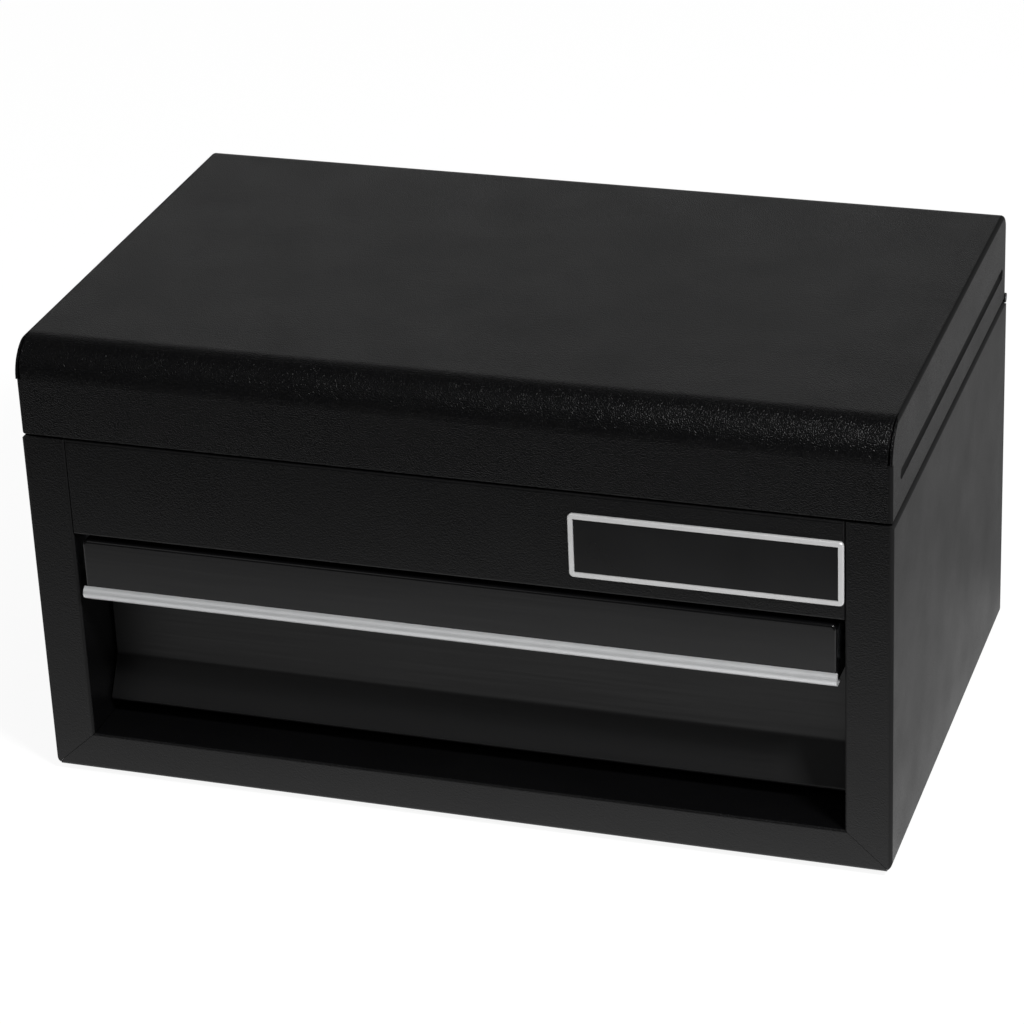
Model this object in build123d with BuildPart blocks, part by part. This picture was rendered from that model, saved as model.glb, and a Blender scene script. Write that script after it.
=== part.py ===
"""Mini tool box: a folded-steel chest with one drawer on ball slides under a hinged lid.

The box stands on its rubber feet, with +Z up and its origin on the ground under its middle.
X runs across the front and Y runs to the back, so the drawer opens towards -Y. Sizes in mm.
"""

from build123d import *
from math import cos, radians, sin
import os

# Overall sizes of the body and the lid
WIDTH = 310.0
DEPTH = 190.0
BODY_HEIGHT = 132.4
LID_HEIGHT = 34.2
LID_SEAM = 0.6
FOOT_HEIGHT = 2.0

# Sheet steel and its folds, outer radii
SHEET = 0.8
LID_SHEET = 0.9
CORNER_BEND = 1.5
EDGE_BEND = 1.0
SIDE_BEND = 1.8
FOOT_BEND = 3.0
JOINT_GAP = 0.2
FIT_GAP = 0.05

# Front frame of the body: stiles, bottom rail and upper panel
STILE_WIDTH = 16.3
STILE_RETURN = 26.0
STILE_RETURN_ABOVE = 10.0
RAIL_HEIGHT = 14.8
RAIL_RETURN = 24.0
RAIL_LIP = 5.0
PANEL_HEIGHT = 36.75
PANEL_SHELF = 23.0
PANEL_TAB = 9.0

# Hidden flanges of the body
SIDE_LIP = 3.5
SIDE_FLANGE = 10.0
PANEL_ROUND = 0.5
BACK_FLANGE = 12.0
BASE_FLANGE = 10.0
FLOOR_FLANGE = 8.0

# Lid: front roll, hems and the pressed groove on its sides
LID_INSET = 0.4
LID_ROLL = 13.0
LID_BACK_BEND = 6.0
LID_TOP_BEND = 1.5
LID_CORNER_BEND = 1.5
LID_HEM = 5.0
LID_HEM_ROUND = 0.8
RELIEF_FOOT = 0.8
RELIEF_HEAD = 0.3
GROOVE_HEIGHT = 12.2
GROOVE_WIDTH = 4.0
GROOVE_DEPTH = 1.2
GROOVE_FRONT = 12.0
GROOVE_BACK = 6.0

# Piano hinge, as long as the box is wide
KNUCKLE_PAIRS = 6
KNUCKLE_GAP = 0.3
KNUCKLE_RADIUS = 1.8
PIN_RADIUS = 0.95
PIN_CLEARANCE = 0.05
PIN_BEHIND = 0.2
LEAF_HEIGHT = 22.0
LEAF_CLEARANCE = 0.3

# Slotted lid stays
LID_OPENING = 95.0
STAY_RADIUS = 25.5
STAY_SPREAD = 58.5
STAY_PIVOT_ANGLE = 46.0
STAY_SHEET = 1.2
STAY_WIDTH = 7.0
STAY_INSET = 4.4
STUD_RADIUS = 2.0
STUD_COLLAR = 3.0
STUD_HEAD = 1.0
STUD_CLEARANCE = 0.2

# Drawer front, trim and tray
DRAWER_FACE_GAP = 2.8
DRAWER_SHEET_GAP = 0.9
DRAWER_TOP_GAP = 2.0
DRAWER_BOTTOM_GAP = 5.4
DRAWER_TOP_BEND = 2.2
SHELL_DEPTH = 24.0
SHELL_HEIGHT = 22.3
RECESS_FOOT = 15.5
LIP_BEND = 1.2
LIP_FORWARD = 9.3
LIP_TURN = 14.0
SLOPE_BEND = 3.0
TRIM_PROUD = 2.0
TRIM_HEIGHT = 4.8
TRIM_HOOK = 4.0
TRIM_HOOK_THICKNESS = 0.6
TRIM_OVERHANG = 0.5
TRAY_LENGTH = 150.2
TRAY_TOP_GAP = 5.5
TRAY_BEND = 1.5
TRAY_HEM = 3.0

# Ball slides
SLIDE_LENGTH = 150.0
SLIDE_HEIGHT = 17.0
SLIDE_DEPTH = 10.0
SLIDE_SHEET = 1.0
SLIDE_LIP = 0.6
SLIDE_DROP = 12.5
DRAWER_TRAVEL = 105.0
RUNNER_HEIGHT = 8.4
RUNNER_FLANGE = 7.5
CAGE_SHEET = 0.5
CAGE_SIDE_GAP = 0.5
BALL_RADIUS = 1.5
BALL_COUNT = 3
BALL_CLEARANCE = 0.15
BALL_INSET = 5.2
TAB_LENGTH = 15.0
BRACKET_SHEET = 1.2
BRACKET_OVERLAP = 25.0
BRACKET_FOOT = 12.0
STOP_THICKNESS = 1.0
STOP_GAP = 0.5
CAGE_STOP_GAP = 1.0

# Rivets
RIVET_SHANK = 1.45
RIVET_HOLE = 1.5
RIVET_HEAD = 2.4
RIVET_HEAD_HEIGHT = 0.9
RIVET_CROWN = 1.4
RIVET_TAIL = 2.0
RIVET_TAIL_HEIGHT = 0.7
HINGE_RIVETS = 4
HINGE_RIVET_PITCH = 80.0
HINGE_RIVET_DISTANCE = 12.0
RUNNER_RIVET_PITCH = 90.0

# Badge on the upper panel
BADGE_WIDTH = 94.5
BADGE_HEIGHT = 23.7
BADGE_INSET = 0.1
BADGE_LIFT = 5.8
BADGE_FIELD = 0.6
BADGE_RIM_PROUD = 1.1
BADGE_RIM_WIDTH = 1.8
BADGE_CORNER = 1.6

# Rubber feet
FOOT_RADIUS = 7.0
FOOT_TAPER = 0.8
FOOT_INSET_X = 20.0
FOOT_INSET_Y = 20.0

# Levels and planes that the pieces share
half_width = WIDTH / 2
front = -DEPTH / 2
back = DEPTH / 2
base = FOOT_HEIGHT
rim = base + BODY_HEIGHT
seam = rim + LID_SEAM
top = seam + LID_HEIGHT
side_inner = half_width - SHEET
side_foot = base + SHEET
back_inner = back - SHEET
opening_x = half_width - STILE_WIDTH
rail_top = base + RAIL_HEIGHT
panel_bottom = rim - PANEL_HEIGHT
floor_bottom = panel_bottom + SHEET
flange_front = back - BACK_FLANGE - JOINT_GAP
hinge_y = back + PIN_BEHIND
hinge_z = rim + LID_SEAM / 2
knuckle_relief = KNUCKLE_RADIUS + LEAF_CLEARANCE
hinge_low = hinge_z - knuckle_relief
hinge_high = hinge_z + knuckle_relief
leaf_inner = hinge_y - KNUCKLE_RADIUS
pocket_depth = back - leaf_inner + JOINT_GAP
slide_z = panel_bottom - SLIDE_DROP


def folded(corners, bends, thickness, side):
    """Section of a folded sheet: its outer line through the corners, thickened to one side."""
    with BuildSketch() as section:
        with BuildLine():
            line = FilletPolyline(*corners, radius=bends)
            offset(line, amount=thickness, side=side)
        make_face()
    return section.sketch


def span(low, high):
    """Rectangle between two corners of the sketch plane."""
    with BuildSketch() as section:
        with Locations(((low[0] + high[0]) / 2, (low[1] + high[1]) / 2)):
            Rectangle(high[0] - low[0], high[1] - low[1])
    return section.sketch


def across(y):
    """Upright plane across the box at y, seen from the front; depth runs to its minus side."""
    return Plane.XZ.offset(-y)


def corner_waste(side, edge_z, bend, up):
    """Waste outside a bend that runs along a side of the box, seen from the front.

    The bend ends at the height edge_z, and up is 1 for an upper bend and -1 for a lower one.
    """
    centre = (side * (half_width - bend), edge_z - up * bend)
    waste_x = sorted((centre[0], side * (half_width + bend)))
    waste_z = sorted((centre[1], edge_z + up * bend))
    with BuildSketch() as waste:
        add(span((waste_x[0], waste_z[0]), (waste_x[1], waste_z[1])))
        with Locations(centre):
            Circle(bend, mode=Mode.SUBTRACT)
    return waste.sketch


def mirrored(right_piece):
    """Left-hand copy of a right-hand piece."""
    with BuildPart() as left_piece:
        add(mirror(right_piece, about=Plane.YZ, mode=Mode.PRIVATE))
    return left_piece.part


def rivet(grip):
    """Rivet through a stack of the given grip, its head above and its formed tail below."""
    with BuildPart() as piece:
        with BuildSketch(Plane.XZ):
            with BuildLine():
                Polyline(
                    (0, RIVET_HEAD_HEIGHT),
                    (RIVET_CROWN, RIVET_HEAD_HEIGHT),
                    (RIVET_HEAD, 0),
                    (RIVET_SHANK, 0),
                    (RIVET_SHANK, -grip),
                    (RIVET_TAIL, -grip),
                    (RIVET_TAIL, -grip - RIVET_TAIL_HEIGHT),
                    (0, -grip - RIVET_TAIL_HEIGHT),
                    close=True,
                )
            make_face()
        revolve(axis=Axis.Z)
    return piece.part


# Side panel: side, front stile and the stile's inner return, folded from one sheet
mitre_slope = RAIL_HEIGHT / STILE_WIDTH
mitre_end = half_width - CORNER_BEND - JOINT_GAP / 2
mitre_end_z = base + (half_width - mitre_end) * mitre_slope
fold_front = front + CORNER_BEND + SHEET
tab_y = front + STILE_RETURN - TAB_LENGTH / 2

with BuildPart() as right_side_panel:
    with BuildSketch(Plane.XY.offset(base)):
        plan = [
            (half_width, back),
            (half_width, front),
            (opening_x, front),
            (opening_x, front + STILE_RETURN),
        ]
        add(folded(plan, [CORNER_BEND, EDGE_BEND], SHEET, Side.RIGHT))
    extrude(amount=BODY_HEIGHT)
    # The mitre at the foot of the stile, and the return that stops above the rail
    with BuildSketch(across(front - JOINT_GAP)):
        with BuildLine():
            Polyline(
                (opening_x - EDGE_BEND, base - JOINT_GAP),
                (mitre_end, base - JOINT_GAP),
                (mitre_end, mitre_end_z),
                (opening_x, rail_top),
                (opening_x - EDGE_BEND, rail_top),
                close=True,
            )
        make_face()
    extrude(amount=-(CORNER_BEND + STILE_RETURN), mode=Mode.SUBTRACT)
    # Beside the upper panel the return is only a short flange
    with BuildSketch(Plane.YZ.offset(opening_x - JOINT_GAP)):
        add(span((front + STILE_RETURN_ABOVE, floor_bottom), (front + STILE_RETURN + SHEET, rim + SHEET)))
    extrude(amount=SHEET + EDGE_BEND, mode=Mode.SUBTRACT)
    # The top edge is folded in as a lip and the foot as a flange that lies on the base
    with BuildSketch(across(front - JOINT_GAP)):
        add(corner_waste(1, rim, SIDE_BEND, 1))
        add(corner_waste(1, side_foot, FOOT_BEND, -1))
    extrude(amount=-(DEPTH + 2 * JOINT_GAP), mode=Mode.SUBTRACT)
    with BuildSketch(across(fold_front)):
        profile = [
            (half_width - SIDE_LIP, rim),
            (half_width, rim),
            (half_width, side_foot),
            (half_width - SIDE_FLANGE, side_foot),
        ]
        add(folded(profile, [SIDE_BEND, FOOT_BEND], SHEET, Side.RIGHT))
    extrude(amount=fold_front - flange_front)
    # The upper back corner is notched for the hinge
    with BuildSketch(across(back)):
        add(span((side_inner - SHEET, hinge_low), (half_width + SHEET, rim + SHEET)))
    extrude(amount=pocket_depth, mode=Mode.SUBTRACT)
    # Hole for the rivet of the slide rail
    with BuildSketch(Plane.YZ.offset(opening_x - JOINT_GAP)):
        with Locations((tab_y, slide_z)):
            Circle(RIVET_HOLE)
    extrude(amount=SHEET + EDGE_BEND, mode=Mode.SUBTRACT)

# Bottom panel: base under the flanges of the sides, mitred front rail with its return and lip
with BuildPart() as bottom_panel:
    with BuildSketch(Plane.YZ):
        profile = [
            (back_inner, base + BASE_FLANGE),
            (back_inner, base),
            (front, base),
            (front, rail_top),
            (front + RAIL_RETURN, rail_top),
            (front + RAIL_RETURN, rail_top - RAIL_LIP),
        ]
        add(folded(profile, [EDGE_BEND, CORNER_BEND, EDGE_BEND, EDGE_BEND], SHEET, Side.RIGHT))
    extrude(amount=mitre_end - JOINT_GAP, both=True)
    for side in (-1, 1):
        # The rail's face is mitred and clears the corner fold of the side panel
        with BuildSketch(across(front - JOINT_GAP)):
            with BuildLine():
                Polyline(
                    (side * (opening_x - JOINT_GAP), rail_top + JOINT_GAP),
                    (side * (opening_x - JOINT_GAP), rail_top),
                    (side * (mitre_end - JOINT_GAP), mitre_end_z),
                    (side * (mitre_end - JOINT_GAP), base - JOINT_GAP),
                    (side * half_width, base - JOINT_GAP),
                    (side * half_width, rail_top + JOINT_GAP),
                    close=True,
                )
            make_face()
        extrude(amount=-(CORNER_BEND + 2 * JOINT_GAP), mode=Mode.SUBTRACT)
        # Behind the face the return and its lip end at the returns of the stiles
        with BuildSketch(across(front + SHEET)):
            ends_x = sorted((side * (opening_x - JOINT_GAP), side * half_width))
            add(span((ends_x[0], rail_top - RAIL_LIP - JOINT_GAP), (ends_x[1], rail_top + JOINT_GAP)))
        extrude(amount=-(RAIL_RETURN + JOINT_GAP), mode=Mode.SUBTRACT)
        # The ends follow the round feet of the sides
        with BuildSketch(across(front - JOINT_GAP)):
            add(corner_waste(side, base, FOOT_BEND, -1))
        extrude(amount=-(DEPTH + 2 * JOINT_GAP), mode=Mode.SUBTRACT)
        # The back corners make room for the flanges of the back panel
        with BuildSketch(Plane.XY.offset(base - JOINT_GAP)):
            corner_x = sorted((side * (side_inner - SHEET - JOINT_GAP), side * half_width))
            add(span((corner_x[0], flange_front), (corner_x[1], back)))
        extrude(amount=BASE_FLANGE + 2 * JOINT_GAP, mode=Mode.SUBTRACT)

# Back panel: flanged sheet between the sides, cut down for the hinge
hinge_rivet_low = hinge_z - HINGE_RIVET_DISTANCE
hinge_rivet_high = hinge_z + HINGE_RIVET_DISTANCE

with BuildPart() as back_panel:
    with BuildSketch(Plane.XY.offset(base)):
        plan = [
            (side_inner, back - BACK_FLANGE),
            (side_inner, back),
            (-side_inner, back),
            (-side_inner, back - BACK_FLANGE),
        ]
        add(folded(plan, [EDGE_BEND, EDGE_BEND], SHEET, Side.LEFT))
    extrude(amount=BODY_HEIGHT)
    with BuildSketch(across(back)):
        add(span((-half_width, hinge_low), (half_width, rim + LID_SEAM)))
        with Locations((0, hinge_rivet_low)):
            with GridLocations(HINGE_RIVET_PITCH, 0, HINGE_RIVETS, 1):
                Circle(RIVET_HOLE)
    extrude(amount=pocket_depth, mode=Mode.SUBTRACT)
    # The corners follow the bends of the sides
    with BuildSketch(across(flange_front)):
        for side in (-1, 1):
            add(corner_waste(side, rim, SIDE_BEND, 1))
            add(corner_waste(side, base, FOOT_BEND, -1))
    extrude(amount=-(BACK_FLANGE + 2 * JOINT_GAP), mode=Mode.SUBTRACT)

# Upper front panel: face with a return at the top, a shelf at the bottom and end tabs
panel_x = opening_x - FIT_GAP

with BuildPart() as upper_front_panel:
    with BuildSketch(Plane.YZ):
        profile = [
            (front + STILE_RETURN_ABOVE, rim),
            (front, rim),
            (front, panel_bottom),
            (front + PANEL_SHELF, panel_bottom),
        ]
        add(folded(profile, [EDGE_BEND, EDGE_BEND], SHEET, Side.LEFT))
    extrude(amount=panel_x, both=True)
    with BuildSketch(Plane.XY.offset(floor_bottom)):
        for side in (-1, 1):
            tab_x = sorted((side * panel_x, side * (panel_x - SHEET)))
            add(span((tab_x[0], front), (tab_x[1], front + PANEL_TAB)))
    extrude(amount=PANEL_HEIGHT - 2 * SHEET)
    # Rounded folds where the panel meets the stiles
    with BuildSketch(Plane.XY.offset(panel_bottom)):
        outline = add(span((-panel_x, front), (panel_x, front + PANEL_SHELF)))
        fillet(outline.vertices().group_by(Axis.Y)[0], PANEL_ROUND)
    extrude(amount=PANEL_HEIGHT, mode=Mode.INTERSECT)

# Floor of the top compartment, resting on the shelf of the panel and the stile returns
with BuildPart() as compartment_floor:
    with BuildSketch(Plane.XY.offset(floor_bottom)):
        add(span((-side_inner, front + STILE_RETURN_ABOVE + JOINT_GAP), (side_inner, flange_front)))
        tongue_x = panel_x - SHEET - JOINT_GAP
        add(span((-tongue_x, front + SHEET + JOINT_GAP), (tongue_x, flange_front)))
        rear_x = side_inner - SHEET - JOINT_GAP
        flange_start = front + STILE_RETURN
        add(span((-rear_x, flange_start), (rear_x, back_inner)))
    extrude(amount=SHEET)
    with BuildSketch(Plane.XY.offset(floor_bottom)):
        add(span((side_inner - SHEET, flange_start), (side_inner, flange_front)))
        add(span((-side_inner, flange_start), (SHEET - side_inner, flange_front)))
        add(span((-rear_x, back_inner - SHEET), (rear_x, back_inner)))
    extrude(amount=FLOOR_FLANGE)

# Badge: a bare field plate in a bright raised rim
badge_x = opening_x - BADGE_INSET - BADGE_WIDTH / 2
badge_z = panel_bottom + BADGE_LIFT + BADGE_HEIGHT / 2
field_width = BADGE_WIDTH - 2 * BADGE_RIM_WIDTH
field_height = BADGE_HEIGHT - 2 * BADGE_RIM_WIDTH

with BuildPart() as badge_plate:
    with BuildSketch(across(front)):
        with Locations((badge_x, badge_z)):
            Rectangle(field_width - 2 * FIT_GAP, field_height - 2 * FIT_GAP)
    extrude(amount=BADGE_FIELD)

with BuildPart() as badge_rim:
    with BuildSketch(across(front)):
        with Locations((badge_x, badge_z)):
            RectangleRounded(BADGE_WIDTH, BADGE_HEIGHT, BADGE_CORNER)
            Rectangle(field_width, field_height, mode=Mode.SUBTRACT)
    extrude(amount=BADGE_RIM_PROUD)
    rim_face = badge_rim.faces().sort_by(Axis.Y)[0]
    chamfer(rim_face.outer_wire().edges(), (BADGE_RIM_PROUD - BADGE_FIELD) / 2)

# Rubber feet under the four corners
with BuildPart() as rubber_feet:
    with GridLocations(WIDTH - 2 * FOOT_INSET_X, DEPTH - 2 * FOOT_INSET_Y, 2, 2):
        Cone(
            FOOT_RADIUS - FOOT_TAPER,
            FOOT_RADIUS,
            FOOT_HEIGHT,
            align=(Align.CENTER, Align.CENTER, Align.MIN),
        )

# Slide rail: outer member of the ball slide, with a tab riveted to the stile's return
rail_front = front + STILE_RETURN
rail_back = rail_front + SLIDE_LENGTH
rail_half = SLIDE_HEIGHT / 2
rail_mouth = opening_x - SLIDE_DEPTH + SLIDE_SHEET + JOINT_GAP
web_inner = opening_x - SLIDE_SHEET
bracket_front = rail_back - BRACKET_OVERLAP
bracket_y = rail_back - BRACKET_OVERLAP / 2

with BuildPart() as right_slide_rail:
    with BuildSketch(across(rail_front)):
        lip_z = rail_half - SLIDE_SHEET - SLIDE_LIP
        profile = [
            (rail_mouth + SLIDE_SHEET, slide_z + lip_z),
            (rail_mouth, slide_z + lip_z),
            (rail_mouth, slide_z + rail_half),
            (opening_x, slide_z + rail_half),
            (opening_x, slide_z - rail_half),
            (rail_mouth, slide_z - rail_half),
            (rail_mouth, slide_z - lip_z),
            (rail_mouth + SLIDE_SHEET, slide_z - lip_z),
            (rail_mouth + SLIDE_SHEET, slide_z - rail_half + SLIDE_SHEET),
            (web_inner, slide_z - rail_half + SLIDE_SHEET),
            (web_inner, slide_z + rail_half - SLIDE_SHEET),
            (rail_mouth + SLIDE_SHEET, slide_z + rail_half - SLIDE_SHEET),
        ]
        with BuildLine():
            Polyline(*profile, close=True)
        make_face()
    extrude(amount=-SLIDE_LENGTH)
    rail_edges = right_slide_rail.edges().filter_by(Axis.Y)
    fillet(rail_edges.group_by(Axis.X)[-1], EDGE_BEND - FIT_GAP)
    # Front tab with rounded corners, lying on the stile's return
    with BuildSketch(Plane.YZ.offset(web_inner)):
        add(span((rail_front - TAB_LENGTH, slide_z - rail_half), (rail_front + EDGE_BEND, slide_z + rail_half)))
    extrude(amount=SLIDE_SHEET)
    tab_corners = right_slide_rail.edges().filter_by(Axis.X).group_by(Axis.Y)[0]
    fillet(tab_corners, CORNER_BEND)
    # Stops: one for the ball cage at the front and one for the runner at the back
    with BuildSketch(across(rail_front)):
        cage_stop_x = web_inner - CAGE_SIDE_GAP - CAGE_SHEET - FIT_GAP
        add(span((cage_stop_x, slide_z - RUNNER_HEIGHT / 2), (web_inner, slide_z + RUNNER_HEIGHT / 2)))
    extrude(amount=-STOP_THICKNESS)
    with BuildSketch(across(rail_back - STOP_THICKNESS)):
        add(span((rail_mouth, slide_z - RUNNER_HEIGHT / 2), (opening_x, slide_z + RUNNER_HEIGHT / 2)))
    extrude(amount=-STOP_THICKNESS)
    with BuildSketch(Plane.YZ.offset(web_inner)):
        with Locations((tab_y, slide_z), (bracket_y, slide_z)):
            Circle(RIVET_HOLE)
    extrude(amount=SLIDE_SHEET, mode=Mode.SUBTRACT)

# Rear bracket between the back panel and the slide rail
with BuildPart() as right_rear_bracket:
    with BuildSketch(Plane.XY.offset(slide_z - rail_half)):
        plan = [
            (opening_x, bracket_front),
            (opening_x, back_inner),
            (opening_x + BRACKET_FOOT, back_inner),
        ]
        add(folded(plan, [CORNER_BEND + EDGE_BEND], BRACKET_SHEET, Side.RIGHT))
    extrude(amount=SLIDE_HEIGHT)
    with BuildSketch(Plane.YZ.offset(opening_x)):
        with Locations((bracket_y, slide_z)):
            Circle(RIVET_HOLE)
    extrude(amount=BRACKET_SHEET, mode=Mode.SUBTRACT)

with BuildPart() as slide_rail_rivets:
    for side in (-1, 1):
        inward = (-side, 0, 0)
        with Locations(Plane(origin=(side * web_inner, tab_y, slide_z), z_dir=inward)):
            add(rivet(SLIDE_SHEET + SHEET))
        with Locations(Plane(origin=(side * web_inner, bracket_y, slide_z), z_dir=inward)):
            add(rivet(SLIDE_SHEET + BRACKET_SHEET))

# Ball cage: a U-shaped strip whose two flanges hold the balls.
# It rolls half as far as the drawer and, when that is open, fills the space between the stops.
runner_length = SLIDE_LENGTH - STOP_THICKNESS - STOP_GAP
runner_back = rail_front + runner_length
open_cage_front = rail_front + STOP_THICKNESS + CAGE_STOP_GAP
open_cage_back = runner_back - STOP_THICKNESS - STOP_GAP - DRAWER_TRAVEL
cage_length = open_cage_back - open_cage_front
cage_front = open_cage_front + DRAWER_TRAVEL / 2
cage_middle = cage_front + cage_length / 2
cage_web = web_inner - CAGE_SIDE_GAP
race_z = RUNNER_HEIGHT / 2 + BALL_CLEARANCE + BALL_RADIUS
cage_half = race_z + CAGE_SHEET / 2
cage_mouth = opening_x - SLIDE_DEPTH + 2 * SLIDE_SHEET + JOINT_GAP
ball_x = opening_x - BALL_INSET

with BuildPart() as right_ball_cage:
    with BuildSketch(across(cage_front)):
        profile = [
            (cage_mouth + CAGE_SHEET, slide_z + cage_half),
            (cage_web, slide_z + cage_half),
            (cage_web, slide_z - cage_half),
            (cage_mouth + CAGE_SHEET, slide_z - cage_half),
        ]
        add(folded(profile, [EDGE_BEND, EDGE_BEND], CAGE_SHEET, Side.RIGHT))
    extrude(amount=-cage_length)
    with BuildSketch(Plane.XY.offset(slide_z)):
        with Locations((ball_x, cage_middle)):
            with GridLocations(0, cage_length / BALL_COUNT, 1, BALL_COUNT):
                Circle(BALL_RADIUS + BALL_CLEARANCE)
    extrude(amount=cage_half, both=True, mode=Mode.SUBTRACT)

with BuildPart() as right_slide_balls:
    for level in (-race_z, race_z):
        with Locations((ball_x, cage_middle, slide_z + level)):
            with GridLocations(0, cage_length / BALL_COUNT, 1, BALL_COUNT):
                Sphere(BALL_RADIUS)

# Drawer tray: open box with a hem around its top
tray_x = opening_x - SLIDE_DEPTH
tray_front = front + SHELL_DEPTH + SHEET
tray_back = tray_front + TRAY_LENGTH
tray_top = panel_bottom - TRAY_TOP_GAP
front_bottom = rail_top + DRAWER_BOTTOM_GAP
tray_bottom = front_bottom + SHEET
tray_middle = (tray_front + tray_back) / 2
tray_height = tray_top - tray_bottom

with BuildPart() as drawer_tray:
    with BuildSketch(Plane.XY.offset(tray_bottom)):
        with Locations((0, tray_middle)):
            RectangleRounded(2 * tray_x, TRAY_LENGTH, TRAY_BEND)
    extrude(amount=tray_height)
    fillet(drawer_tray.faces().sort_by(Axis.Z)[0].edges(), EDGE_BEND)
    with BuildSketch(Plane.XY.offset(tray_bottom + SHEET)):
        with Locations((0, tray_middle)):
            RectangleRounded(2 * (tray_x - SHEET), TRAY_LENGTH - 2 * SHEET, TRAY_BEND - SHEET)
    extrude(amount=tray_height - SHEET - TRAY_HEM, mode=Mode.SUBTRACT)
    with BuildSketch(Plane.XY.offset(tray_top)):
        with Locations((0, tray_middle)):
            Rectangle(2 * (tray_x - 2 * SHEET), TRAY_LENGTH - 4 * SHEET)
    extrude(amount=-TRAY_HEM, mode=Mode.SUBTRACT)
    with BuildSketch(Plane.YZ):
        with Locations((tray_middle, slide_z)):
            with GridLocations(RUNNER_RIVET_PITCH, 0, 2, 1):
                Circle(RIVET_HOLE)
    extrude(amount=half_width, both=True, mode=Mode.SUBTRACT)

# Drawer front: hollow folded shell above the pull recess, recess plate, slope and lip
face_x = opening_x - DRAWER_FACE_GAP
sheet_x = opening_x - DRAWER_SHEET_GAP
face_top = panel_bottom - DRAWER_TOP_GAP
shell_bottom = face_top - SHELL_HEIGHT
recess_y = front + SHELL_DEPTH
recess_bottom = front_bottom + RECESS_FOOT
lip_y = recess_y - LIP_FORWARD

with BuildPart() as drawer_front:
    with BuildSketch(across(front)):
        with Locations((0, shell_bottom + SHELL_HEIGHT / 2)):
            Rectangle(2 * face_x, SHELL_HEIGHT)
    extrude(amount=-SHELL_DEPTH)
    fillet(drawer_front.edges().filter_by(Axis.Y).group_by(Axis.Z)[-1], DRAWER_TOP_BEND)
    fillet(drawer_front.faces().sort_by(Axis.Y)[0].edges(), EDGE_BEND)
    # Hollow behind the face, open to the back
    with BuildSketch(across(recess_y)):
        inside_low = (SHEET - face_x, shell_bottom + SHEET)
        inside_high = (face_x - SHEET, face_top - SHEET)
        inside = add(span(inside_low, inside_high))
        fillet(inside.vertices().group_by(Axis.Z)[-1], DRAWER_TOP_BEND - SHEET)
    extrude(amount=SHELL_DEPTH - SHEET, mode=Mode.SUBTRACT)
    with BuildSketch(Plane.YZ):
        profile = [
            (recess_y + LIP_TURN, front_bottom),
            (lip_y, front_bottom),
            (recess_y, recess_bottom),
            (recess_y, shell_bottom),
            (front + EDGE_BEND + TRIM_HOOK, shell_bottom),
        ]
        bends = [LIP_BEND, SLOPE_BEND, EDGE_BEND]
        add(folded(profile, bends, SHEET, Side.RIGHT))
    extrude(amount=sheet_x, both=True)
    # Above the recess the sheet is only as wide as the face
    for side in (-1, 1):
        with BuildSketch(Plane.XY.offset(shell_bottom)):
            ends_x = sorted((side * face_x, side * opening_x))
            add(span((ends_x[0], front), (ends_x[1], recess_y)))
        extrude(amount=SHEET, mode=Mode.SUBTRACT)

# Aluminium trim: half-round strip hooked under the lower edge of the face
trim_x = face_x + TRIM_OVERHANG
trim_bottom = shell_bottom - TRIM_HOOK_THICKNESS

with BuildPart() as drawer_trim:
    with BuildSketch(Plane.YZ):
        with BuildLine():
            ThreePointArc(
                (front, trim_bottom),
                (front - TRIM_PROUD, trim_bottom + TRIM_HEIGHT / 2),
                (front, trim_bottom + TRIM_HEIGHT),
            )
            Polyline(
                (front, trim_bottom + TRIM_HEIGHT),
                (front, shell_bottom + EDGE_BEND),
                (front, shell_bottom),
                (front + TRIM_HOOK, shell_bottom),
                (front + TRIM_HOOK, trim_bottom),
                (front, trim_bottom),
            )
        make_face()
    extrude(amount=trim_x, both=True)

# Runner: inner member of the ball slide, riveted to the tray
runner_x = tray_x + RUNNER_FLANGE
runner_half = RUNNER_HEIGHT / 2

with BuildPart() as right_drawer_runner:
    with BuildSketch(across(rail_front)):
        profile = [
            (runner_x, slide_z + runner_half),
            (tray_x, slide_z + runner_half),
            (tray_x, slide_z - runner_half),
            (runner_x, slide_z - runner_half),
        ]
        add(folded(profile, [EDGE_BEND + FIT_GAP, EDGE_BEND + FIT_GAP], SLIDE_SHEET, Side.LEFT))
    extrude(amount=-runner_length)
    # Ears at the back that stop against the ball cage
    ear_half = race_z + CAGE_SHEET / 2 + FIT_GAP
    with BuildSketch(across(runner_back - STOP_THICKNESS)):
        ear_low = (cage_mouth + CAGE_SHEET, slide_z - ear_half)
        ear_high = (runner_x, slide_z + ear_half)
        add(span(ear_low, ear_high))
        core_low = (tray_x, slide_z - runner_half + SLIDE_SHEET)
        core_high = (runner_x, slide_z + runner_half - SLIDE_SHEET)
        add(span(core_low, core_high), mode=Mode.SUBTRACT)
    extrude(amount=-STOP_THICKNESS)
    with BuildSketch(Plane.YZ.offset(tray_x)):
        with Locations((tray_middle, slide_z)):
            with GridLocations(RUNNER_RIVET_PITCH, 0, 2, 1):
                Circle(RIVET_HOLE)
    extrude(amount=SLIDE_SHEET, mode=Mode.SUBTRACT)

with BuildPart() as drawer_runner_rivets:
    for side in (-1, 1):
        inner_face = (side * (tray_x - SHEET), tray_middle, slide_z)
        with Locations(Plane(origin=inner_face, x_dir=(0, 1, 0), z_dir=(-side, 0, 0))):
            with GridLocations(RUNNER_RIVET_PITCH, 0, 2, 1):
                add(rivet(SHEET + SLIDE_SHEET))

# Lid shell: pressed sheet with a rolled front, open relief slots and hemmed edges
lid_x = half_width - LID_INSET
roll_y = front + LID_ROLL
roll_z = top - LID_ROLL
hem_top = seam + LID_HEM
lid_inner = lid_x - LID_SHEET


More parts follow.
